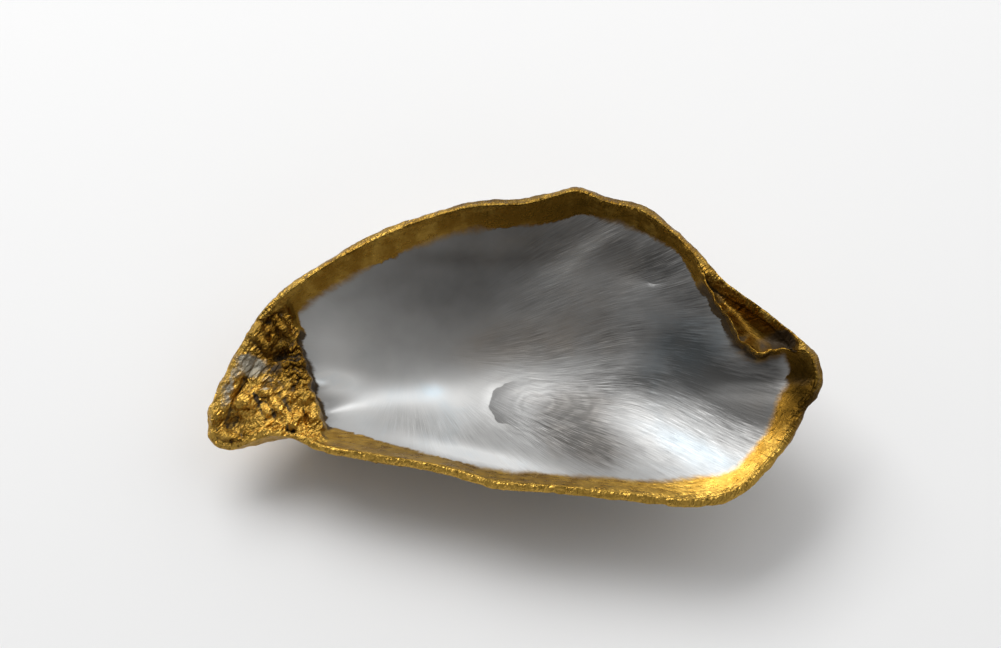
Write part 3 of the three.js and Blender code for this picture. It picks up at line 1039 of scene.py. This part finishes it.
def scar_tone(group, place, x, y):
    """Tone of the adductor scar: dark inside a crisp crescent, partly the scar's own colour and partly
    painted shade under its edge, a painted highlight just outside that edge, and rings on its far side.
    """
    across = (x - SCAR["x"]) / SCAR["half_x"]
    up = (y - SCAR["y"]) / SCAR["half_y"]
    square = across * across + up * up
    uneven = (group.noise(place, 0.16, 3.0) - 0.5) * 0.6
    spread = group.math("SQRT", square) + uneven
    facing = group.ramp(across, -0.95, -0.15, 1.0, 0.0)
    # Darker scar colour, with painted shade under the crisp edge.
    dark = group.ramp(spread, 0.97, 1.0, 1.0, 0.0) * facing
    # A painted highlight along the outside of the crisp edge.
    painted_edge_highlight = group.ramp(spread, 0.98, 1.0) * group.ramp(spread, 1.0, 1.3, 1.0, 0.0)
    painted_edge_highlight *= facing
    turns = spread * 26.0 - across * 5.0
    rings = group.math("SINE", turns) * group.ramp(across, -0.95, -0.3)
    rings *= group.ramp(spread, 1.1, 1.6, 1.0, 0.0)
    rings *= group.ramp(group.noise(place, 0.25, 2.0), 0.35, 0.6)
    tone = painted_edge_highlight * 0.2 - dark * 0.26
    return tone + rings * 0.05


def nacre_group():
    """Silver-grey mother of pearl, with brushed streaks fanned out from one point, and painted light and
    shade standing in for its reflections.
    """
    inputs = (
        ("Position", VECTOR, None),
        ("Lightness", FLOAT, 0.0),
        ("Blueness", FLOAT, 0.0),
        ("Brushed", FLOAT, 0.0),
        ("Dark", COLOUR, None),
        ("Light", COLOUR, None),
        ("Blue", COLOUR, None),
        ("Rose", COLOUR, None),
        ("Fan X", FLOAT, -20.0),
        ("Fan Y", FLOAT, 3.0),
    )
    outputs = (("Color", COLOUR), ("Roughness", FLOAT), ("Height", FLOAT))
    group = Group("Nacre", "ShaderNodeTree", inputs, outputs)
    given = group.inputs
    place = group.vector("SCALE", given["Position"], scale=1 / MM)
    x, y = group.separate(place)[:2]
    from_x = x - given["Fan X"]
    from_y = y - given["Fan Y"]
    square = from_x * from_x + from_y * from_y
    radius = group.math("SQRT", square)
    bend = (group.noise(place, 0.022, 0.0) - 0.5) * 0.5
    turn = group.math("ARCTAN2", from_y, from_x) + bend
    fan = group.combine(turn * 9.0, radius * 0.06, 0.0)
    broad = group.noise(fan, 1.1, 3.0, 0.6)
    fan = group.combine(turn * 60.0, radius * 0.09, 3.0)
    streaks = group.noise(fan, 1.0, 5.0, 0.7)
    fan = group.combine(turn * 230.0, radius * 0.22, 7.0)
    hairs = group.noise(fan, 1.0, 3.0, 0.6)
    on_fan = group.ramp(x - y * 0.55, -16.0, 4.0, 0.04, 1.0)
    patchy = group.ramp(group.noise(place, 0.1, 2.0), 0.36, 0.6, 0.25, 1.0)
    strength = on_fan * patchy * 0.6
    strength += given["Brushed"] * 0.6
    # Bright fine scratches: painted sheen along the nacre's fibres.
    sheen_scratches = group.ramp(hairs, 0.58, 0.72) * given["Brushed"]
    clouds = group.noise(place, 0.08, 3.0) - 0.5
    marks = (broad - 0.5) * 0.4
    marks += (streaks - 0.5) * 0.5
    marks += (hairs - 0.5) * 0.9
    tone = clouds * 0.3 + 0.42 + marks * strength
    tone += sheen_scratches * 0.26
    # Painted light and shade of the nacre's reflections, and the scar's painted highlight and shade.
    tone += given["Lightness"] + scar_tone(group, place, x, y)
    colour = group.blend(group.math("ADD", tone, 0.0, clamp=True), given["Dark"], given["Light"])
    tint = group.noise(place, 0.13, 2.0, 0.5, 0.6) - 0.5
    tint += (streaks - 0.5) * 0.6
    tint = given["Blueness"] + tint * 0.9
    colour = group.blend(group.ramp(tint, 0.0, 1.0, 0.0, 0.8), colour, given["Blue"], how="MULTIPLY")
    colour = group.blend(group.ramp(tint, -1.0, 0.0, 0.8, 0.0), colour, given["Rose"], how="MULTIPLY")
    roughness = group.ramp(streaks, 0.3, 0.7, 0.42, 0.54)
    height = (streaks * 0.1 + hairs * 0.05) * strength
    return group.finished(Color=colour, Roughness=roughness, Height=height)


def gilt_group():
    """Gold paint: bright on crests, brown with painted shade in hollows and folds, worn to bare shell or
    stained dark in places.
    """
    inputs = (
        ("Position", VECTOR, None),
        ("Around", VECTOR, None),
        ("Hollow Fine", FLOAT, 0.0),
        ("Hollow Wide", FLOAT, 0.0),
        ("Plate", FLOAT, 0.0),
        ("Rim", FLOAT, 0.0),
        ("Bare", FLOAT, 0.0),
        ("Dark", FLOAT, 0.0),
        ("Painted Shade", FLOAT, 0.0),
        ("Bright", COLOUR, None),
        ("Deep", COLOUR, None),
        ("Crevice", COLOUR, None),
        ("Worn", COLOUR, None),
        ("Wear", FLOAT, 0.0),
    )
    outputs = (("Color", COLOUR), ("Roughness", FLOAT), ("Metallic", FLOAT), ("Height", FLOAT))
    group = Group("Gilt", "ShaderNodeTree", inputs, outputs)
    given = group.inputs
    place = group.vector("SCALE", given["Position"], scale=1 / MM)
    brush = group.vector("MULTIPLY", given["Around"], (0.35, 0.35, 1.5))
    strokes = group.noise(brush, 1.2, 4.0, 0.6)
    grain = group.noise(place, 3.2, 6.0, 0.75)
    patches = group.noise(place, 0.3, 4.0, 0.6)
    crumple = group.ridged(draped(group, place, 0.45), 0.62, 2.0)
    ribs = group.noise(group.vector("MULTIPLY", given["Around"], (1.0, 1.0, 0.22)), 1.5, 2.0)
    ribs *= given["Rim"]
    wrinkle = group.ridged(group.vector("ADD", place, (5.0, 2.0, 9.0)), 1.7, 3.0)
    rough = group.math("MAXIMUM", given["Plate"], given["Rim"] * 0.6)

    tone = strokes * 0.35 + patches * 0.65
    tone += (grain - 0.5) * 0.2
    # The rim is painted lighter: a painted highlight along the margin's edge.
    tone += given["Rim"] * 0.12
    # Painted light and shade from the broad table, in the tone and as a scale on the colour.
    tone += given["Painted Shade"] * 0.35
    colour = group.blend(group.ramp(tone, 0.36, 0.68), given["Deep"], given["Bright"])
    colour = group.vector("SCALE", colour, scale=given["Painted Shade"] + 1.0)
    # Painted shade in hollows, from the hollow fields, and in the plate's fold valleys, with random grain.
    darkening = group.math("MINIMUM", given["Hollow Fine"] * 7.0, 0.6)
    darkening += group.math("MINIMUM", given["Hollow Wide"] * 1.2, 0.3)
    darkening += (grain - 0.5) * 0.7
    folds = 0.45 - (crumple * 0.5 + wrinkle * 0.5)
    darkening += folds * given["Plate"] * 0.9
    # Dark stains, and painted shade where the dark places sit in pits, under the beak and in the lip's
    # trough.
    stain_and_shade = given["Dark"] * group.ramp(grain + patches, 0.75, 1.3, 1.7, 0.6)
    stain_and_shade += given["Plate"] * 0.16
    darkening += stain_and_shade
    crevice = group.ramp(darkening, 0.05, 1.0)
    colour = group.blend(crevice, colour, given["Crevice"])
    bare = group.noise(place, 0.55, 5.0, 0.7)
    bare += given["Wear"] + given["Bare"] * 0.5
    worn = group.ramp(bare, 0.76, 1.02) * (1.0 - crevice)
    worn_tone = group.ramp(grain - darkening * 0.5, 0.2, 0.75, 0.35, 1.0)
    worn_colour = group.vector("SCALE", given["Worn"], scale=worn_tone)
    colour = group.blend(worn * 0.85, colour, worn_colour)
    roughness = group.ramp(strokes, 0.35, 0.65, 0.24, 0.42) + crevice * 0.3
    dull = group.math("MAXIMUM", worn, crevice * 0.7)
    height = grain * 0.05 + strokes * 0.16
    crumples = crumple * 0.6 + wrinkle * 0.1
    height += crumples * rough
    height += ribs * 0.5
    return group.finished(Color=colour, Roughness=roughness, Metallic=1.0 - dull, Height=height)


def weathered_group():
    """The chalky outside: off-white and grey with brown-purple rays, stained growth lines, stain colour in
    hollows that is painted shade as well as dirt, and paler on crests.
    """
    inputs = (
        ("Position", VECTOR, None),
        ("Growth", FLOAT, 0.0),
        ("Ray", FLOAT, 0.0),
        ("Hollow Fine", FLOAT, 0.0),
        ("Hollow Wide", FLOAT, 0.0),
        ("Pale", COLOUR, None),
        ("Grey", COLOUR, None),
        ("Purple", COLOUR, None),
        ("Stain", COLOUR, None),
    )
    outputs = (("Color", COLOUR), ("Roughness", FLOAT), ("Height", FLOAT))
    group = Group("Weathered Shell", "ShaderNodeTree", inputs, outputs)
    given = group.inputs
    place = group.vector("SCALE", given["Position"], scale=1 / MM)
    patches = group.noise(place, 0.12, 4.0, 0.6)
    grain = group.noise(place, 2.2, 6.0, 0.7)
    colour = group.blend(group.ramp(patches, 0.38, 0.62), given["Pale"], given["Grey"])
    along_rays = group.combine(given["Ray"] * 6.0, given["Growth"] * 1.2, 0.0)
    ray_noise = group.noise(along_rays, 1.6, 4.0, 0.6)
    rays = group.ramp(ray_noise, 0.52, 0.66, 0.0, 0.8)
    colour = group.blend(rays, colour, given["Purple"])
    across_rays = group.combine(given["Growth"] * 40.0, given["Ray"] * 1.5, 0.0)
    lines = group.noise(across_rays, 1.0, 4.0, 0.6)
    colour = group.blend(group.ramp(lines, 0.5, 0.7, 0.0, 0.35), colour, given["Stain"])
    # Stain colour in hollows: painted shade as well as dirt between the lamellae; paler on crests.
    darkening = given["Hollow Fine"] * 7.0 + given["Hollow Wide"] * 1.4
    darkening += (grain - 0.5) * 0.8
    colour = group.blend(group.ramp(darkening, 0.1, 0.9, 0.0, 0.8), colour, given["Stain"])
    colour = group.blend(group.ramp(darkening, -0.9, -0.2, 0.6, 0.0), colour, given["Pale"])
    roughness = group.ramp(grain, 0.3, 0.7, 0.62, 0.85)
    return group.finished(Color=colour, Roughness=roughness, Height=grain * 0.3)


def place_group(tree, group, values):
    """Puts a node group in a material with its own values and returns its outputs."""
    node = tree.node("ShaderNodeGroup", node_tree=group)
    for name, value in values.items():
        tree.feed(node.inputs[name], value)
    return node.outputs


def attribute(tree, name, output="Fac"):
    settings = {"attribute_type": "GEOMETRY", "attribute_name": name}
    return tree.wire("ShaderNodeAttribute", {}, output, **settings)


def solid(colour):
    """A colour setting with full alpha."""
    return (*colour, 1.0)


def shell_material(finish):
    """Nacre inside, gilt round the margin and over the hinge, weathered shell outside."""
    material = bpy.data.materials.new("Gilded Oyster Shell")
    material.use_nodes = True
    material.node_tree.nodes.clear()
    tree = Tree(material.node_tree)
    position = tree.node("ShaderNodeTexCoord").outputs["Object"]
    around = attribute(tree, "around", "Vector")
    outside = attribute(tree, "outside")
    hollow_fine = attribute(tree, "hollow_fine")
    hollow_wide = attribute(tree, "hollow_wide")
    reach = attribute(tree, "gilt_reach")

    nacre = place_group(
        tree,
        nacre_group(),
        {
            "Position": position,
            "Lightness": attribute(tree, "nacre_painted_light"),
            "Blueness": attribute(tree, "blueness"),
            "Brushed": attribute(tree, "brushed"),
            "Dark": solid(finish.nacre_dark),
            "Light": solid(finish.nacre_light),
            "Blue": solid(finish.nacre_blue),
            "Rose": solid(finish.nacre_rose),
        },
    )
    wear = attribute(tree, "plate") * finish.wear
    gilt = place_group(
        tree,
        gilt_group(),
        {
            "Position": position,
            "Around": around,
            "Hollow Fine": hollow_fine,
            "Hollow Wide": hollow_wide,
            "Plate": attribute(tree, "plate"),
            "Rim": attribute(tree, "rim"),
            "Bare": attribute(tree, "bare"),
            "Dark": attribute(tree, "dark"),
            "Painted Shade": attribute(tree, "gilt_painted_shade"),
            "Bright": solid(finish.gilt_bright),
            "Deep": solid(finish.gilt_deep),
            "Crevice": solid(finish.gilt_crevice),
            "Worn": solid(finish.gilt_worn),
            "Wear": wear,
        },
    )
    weathered = place_group(
        tree,
        weathered_group(),
        {
            "Position": position,
            "Growth": attribute(tree, "growth"),
            "Ray": attribute(tree, "ray"),
            "Hollow Fine": hollow_fine,
            "Hollow Wide": hollow_wide,
            "Pale": solid(finish.shell_pale),
            "Grey": solid(finish.shell_grey),
            "Purple": solid(finish.shell_purple),
            "Stain": solid(finish.shell_stain),
        },
    )
    brushed = brushed_edge_group()
    edges = {"Reach": reach, "Around": around}
    inner_mask = place_group(tree, brushed, {**edges, "Raggedness": 1.8, "Softness": 0.35})["Mask"]
    outer_mask = place_group(tree, brushed, {**edges, "Raggedness": 11.0, "Softness": 0.6})["Mask"]
    is_outer = tree.ramp(outside, 0.5, 0.7)
    gilded = tree.blend(is_outer, inner_mask, outer_mask, "FLOAT")

    bare_colour = tree.blend(is_outer, nacre["Color"], weathered["Color"])
    bare_roughness = tree.blend(is_outer, nacre["Roughness"], weathered["Roughness"], "FLOAT")
    bare_height = tree.blend(is_outer, nacre["Height"], weathered["Height"], "FLOAT")
    bare_metallic = tree.blend(is_outer, finish.nacre_metallic, 0.0, "FLOAT")

    shader = tree.node("ShaderNodeBsdfPrincipled")
    tree.feed(shader.inputs["Base Color"], tree.blend(gilded, bare_colour, gilt["Color"]))
    tree.feed(shader.inputs["Roughness"], tree.blend(gilded, bare_roughness, gilt["Roughness"], "FLOAT"))
    tree.feed(shader.inputs["Metallic"], tree.blend(gilded, bare_metallic, gilt["Metallic"], "FLOAT"))
    height = tree.blend(gilded, bare_height, gilt["Height"], "FLOAT")
    bump = tree.node("ShaderNodeBump")
    bump.inputs["Strength"].default_value = 1.0
    bump.inputs["Distance"].default_value = MM
    tree.feed(bump.inputs["Height"], height)
    tree.feed(shader.inputs["Normal"], bump.outputs["Normal"])
    output = tree.node("ShaderNodeOutputMaterial")
    tree.feed(output.inputs["Surface"], shader.outputs["BSDF"])
    return material


def number_setting(name, default, description, **limits):
    return bpy.props.FloatProperty(name=name, description=description, default=default, **limits)


def share_setting(name, default, description):
    return number_setting(name, default, description, min=0.0, max=1.0, subtype="FACTOR")


def power_setting(name, default, description):
    return number_setting(name, default, description, min=0.0, unit="POWER")


def length_setting(name, default, description):
    """A length whose default is given in millimetres."""
    return number_setting(name, default * MM, description, min=0.0, precision=5, unit="LENGTH")


def colour_setting(name, default, description):
    return bpy.props.FloatVectorProperty(
        name=name, description=description, default=default, size=3, min=0.0, max=1.0, subtype="COLOR"
    )


class OysterSizes(bpy.types.PropertyGroup):
    """Sizes of the shell that a user would change."""

    floor_height: length_setting("Floor Height", 4.0, "Lowest point of the bowl over the resting flat")
    margin_thickness: length_setting("Margin Thickness", 1.3, "Width of the broken face all round")
    plate_height: length_setting("Plate Height", 15.8, "Height of the plate's edge over the resting flat")
    plate_overhang: length_setting("Plate Overhang", 0.3, "How far the hinge plate juts out over the bowl")
    lip_height: length_setting("Lip Height", 25.0, "Height of the folded lip's edge over the resting flat")
    lip_overhang: length_setting("Lip Overhang", 0.8, "How far the folded lip leans over the bowl")
    trough_depth: length_setting("Trough Depth", 3.0, "Depth of the trough behind the folded lip")
    lamella_count: number_setting("Lamella Count", 17.0, "Growth lamellae from umbo to margin", min=1.0)
    lamella_height: length_setting("Lamella Height", 0.9, "How far a lamella's edge stands out")
    rib_count: number_setting("Rib Count", 7.0, "Radial folds across the fan of the shell", min=1.0)
    rib_height: length_setting("Rib Height", 1.3, "Height of the radial folds")
    crust_height: length_setting("Crust Height", 0.35, "Roughness of the weathered outside")
    chip_height: length_setting("Chip Height", 0.3, "Unevenness of the chipped margin")
    crumple_height: length_setting("Crumple Height", 0.6, "Unevenness of the crumpled hinge plate")
    gilt_wrap: length_setting("Gilt Wrap", 8.0, "How far the gilding wraps over the margin on to the outside")
    seed: number_setting("Seed", 1.0, "Changes every irregular detail")


class OysterFinish(bpy.types.PropertyGroup):
    """Colours and finishes of the shell that a user would change."""

    nacre_dark: colour_setting("Nacre Dark", (0.085, 0.084, 0.082), "Darker tone of the mother of pearl")
    nacre_light: colour_setting("Nacre Light", (0.74, 0.74, 0.73), "Lighter tone of the mother of pearl")
    nacre_blue: colour_setting("Nacre Blue", (0.72, 0.88, 1.0), "Cool tint of the mother of pearl")
    nacre_rose: colour_setting("Nacre Rose", (1.0, 0.90, 0.80), "Warm tint of the mother of pearl")
    nacre_metallic: share_setting("Nacre Metallic", 0.4, "Share of metallic reflection in the nacre")
    gilt_bright: colour_setting("Gilt Bright", (0.55, 0.335, 0.065), "Gold paint where it is thick and clean")
    gilt_deep: colour_setting("Gilt Deep", (0.29, 0.15, 0.02), "Gold paint where it is thin")
    # The colour of the painted shade in the gilding's hollows and folds, and of its dark stains.
    gilt_crevice: colour_setting("Gilt Crevice", (0.045, 0.026, 0.008), "Dirt in the gilding's hollows")
    gilt_worn: colour_setting("Gilt Worn", (0.36, 0.34, 0.27), "Bare shell where the gilding has worn away")
    wear: share_setting("Wear", 0.06, "How much of the hinge plate's gilding has worn away")
    shell_pale: colour_setting("Shell Pale", (0.52, 0.48, 0.40), "Clean chalky shell")
    shell_grey: colour_setting("Shell Grey", (0.27, 0.25, 0.21), "Greyer weathered shell")
    shell_purple: colour_setting("Shell Purple", (0.13, 0.085, 0.10), "Rays of purple-brown pigment")
    # Also the colour of the painted shade in the outside's hollows.
    shell_stain: colour_setting("Shell Stain", (0.10, 0.075, 0.045), "Dirt between the lamellae")


class OysterStage(bpy.types.PropertyGroup):
    """Light, floor and camera settings that a user would change."""

    floor_colour: colour_setting("Floor Colour", (0.82, 0.82, 0.82), "Colour of the plain floor")
    key_power: power_setting("Key Power", 8.2, "Power of the soft light behind the dish")
    side_power: power_setting("Side Power", 2.2, "Power of the soft light at the right")
    fill_power: power_setting("Fill Power", 0.8, "Power of the weak light in front")
    sky_strength: number_setting("Sky Strength", 0.8, "Strength of the even light from behind", min=0.0)
    front_strength: number_setting("Front Strength", 0.12, "Strength of the even light in front", min=0.0)
    elevation: number_setting(
        "Elevation", math.radians(72), "Camera's angle above the floor", unit="ROTATION"
    )
    lens: number_setting("Lens", 85.0, "Camera's focal length in millimetres", min=1.0)


class OYSTER_OT_shell(bpy.types.Operator):
    """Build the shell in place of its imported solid"""

    bl_idname = "oyster_dish.shell"
    bl_label = "Oyster Shell"

    def execute(self, context):
        sizes = context.scene.oyster_sizes
        points, fields = shell_grid(sizes)
        base = grid_mesh("shell_base", points, fields, sizes)
        material = shell_material(context.scene.oyster_finish)
        mesh = apply_tree(
            base,
            "shell",
            growth_relief_tree(),
            {
                "Lamella Count": sizes.lamella_count,
                "Lamella Height": sizes.lamella_height,
                "Rib Count": sizes.rib_count,
                "Rib Height": sizes.rib_height,
                "Crust Height": sizes.crust_height,
                "Chip Height": sizes.chip_height,
                "Crumple Height": sizes.crumple_height,
                "Seed": sizes.seed,
                "Material": material,
            },
        )
        if len(mesh.vertices) != points.shape[0] * AROUND + 2:
            raise RuntimeError("The growth relief changed the number of points of the shell")
        add_hollow_field(mesh, points.shape[0])
        mesh.shade_smooth()
        shell = bpy.data.objects.new("gilded_oyster_shell", mesh)
        context.collection.objects.link(shell)
        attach(shell, "root")
        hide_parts(SHELL_NODE)
        return {"FINISHED"}


def area_light(name, offset, size, target, power):
    """A rectangular soft light at an offset from a target and facing it, all in metres."""
    data = bpy.data.lights.new(name, "AREA")
    data.shape = "RECTANGLE"
    data.size, data.size_y = size
    data.energy = power
    light = bpy.data.objects.new(name, data)
    light.location = target + Vector(offset)
    light.rotation_euler = (-Vector(offset)).to_track_quat("-Z", "Y").to_euler()
    bpy.context.collection.objects.link(light)


class OYSTER_OT_stage(bpy.types.Operator):
    """Build the floor, the lights and the camera"""

    bl_idname = "oyster_dish.stage"
    bl_label = "Stage"

    def execute(self, context):
        stage = context.scene.oyster_stage
        middle = Vector((BOX_MIDDLE[0] * MM, BOX_MIDDLE[1] * MM, BOX_LOW[2] * MM))
        self.floor(stage, middle)
        self.lights(stage, middle)
        self.camera(stage, middle)
        return {"FINISHED"}

    def floor(self, stage, middle):
        mesh = bpy.data.meshes.new("floor")
        signs = ((-1, -1), (1, -1), (1, 1), (-1, 1))
        corners = [middle + Vector((x * FLOOR_HALF, y * FLOOR_HALF, 0)) for x, y in signs]
        mesh.from_pydata(corners, [], [(0, 1, 2, 3)])
        material = bpy.data.materials.new("Pale Floor")
        material.use_nodes = True
        shader = material.node_tree.nodes["Principled BSDF"]
        shader.inputs["Base Color"].default_value = solid(stage.floor_colour)
        shader.inputs["Roughness"].default_value = 0.9
        mesh.materials.append(material)
        floor = bpy.data.objects.new("floor", mesh)
        bpy.context.collection.objects.link(floor)

    def lights(self, stage, middle):
        area_light("key_light", *KEY_LIGHT, middle, stage.key_power)
        area_light("side_light", *SIDE_LIGHT, middle, stage.side_power)
        area_light("fill_light", *FILL_LIGHT, middle, stage.fill_power)
        world = bpy.data.worlds.new("studio")
        world.use_nodes = True
        tree = Tree(world.node_tree)
        background = world.node_tree.nodes["Background"]
        background.inputs["Color"].default_value = (1.0, 1.0, 1.0, 1.0)
        way = tree.separate(tree.node("ShaderNodeTexCoord").outputs["Generated"])
        front = stage.front_strength
        tree.feed(background.inputs["Strength"], tree.ramp(way[1], -0.5, 0.9, front, stage.sky_strength))
        bpy.context.scene.world = world
        bpy.context.scene.view_settings.view_transform = "Standard"

    def camera(self, stage, middle):
        data = bpy.data.cameras.new("camera")
        data.lens = stage.lens
        data.sensor_width = SENSOR_WIDTH
        camera = bpy.data.objects.new("camera", data)
        target = middle + Vector(VIEW_TARGET) * MM
        back = Vector((0.0, -math.cos(stage.elevation), math.sin(stage.elevation)))
        camera.location = target + back * VIEW_DISTANCE * MM
        camera.rotation_euler = (-back).to_track_quat("-Z", "Y").to_euler()
        bpy.context.collection.objects.link(camera)
        bpy.context.scene.camera = camera


class OYSTER_PT_dish(bpy.types.Panel):
    """Lists the steps that build the dish"""

    bl_label = "Oyster Dish"
    bl_space_type = "VIEW_3D"
    bl_region_type = "UI"
    bl_category = "Oyster Dish"

    def draw(self, context):
        layout = self.layout
        layout.operator(OYSTER_OT_shell.bl_idname)
        layout.operator(OYSTER_OT_stage.bl_idname)
        for settings in (context.scene.oyster_sizes, context.scene.oyster_finish, context.scene.oyster_stage):
            box = layout.box()
            for name in settings.bl_rna.properties.keys():
                if name not in ("rna_type", "name"):
                    box.prop(settings, name)


CLASSES = (OysterSizes, OysterFinish, OysterStage, OYSTER_OT_shell, OYSTER_OT_stage, OYSTER_PT_dish)


def register():
    for item in CLASSES:
        bpy.utils.register_class(item)
    bpy.types.Scene.oyster_sizes = bpy.props.PointerProperty(type=OysterSizes)
    bpy.types.Scene.oyster_finish = bpy.props.PointerProperty(type=OysterFinish)
    bpy.types.Scene.oyster_stage = bpy.props.PointerProperty(type=OysterStage)


def unregister():
    del bpy.types.Scene.oyster_stage
    del bpy.types.Scene.oyster_finish
    del bpy.types.Scene.oyster_sizes
    for item in reversed(CLASSES):
        bpy.utils.unregister_class(item)


def plain(box):
    return [[float(value) for value in corner] for corner in box]


def main():
    register()
    bpy.ops.oyster_dish.stage()
    bpy.ops.oyster_dish.shell()


if __name__ == "__main__":
    main()
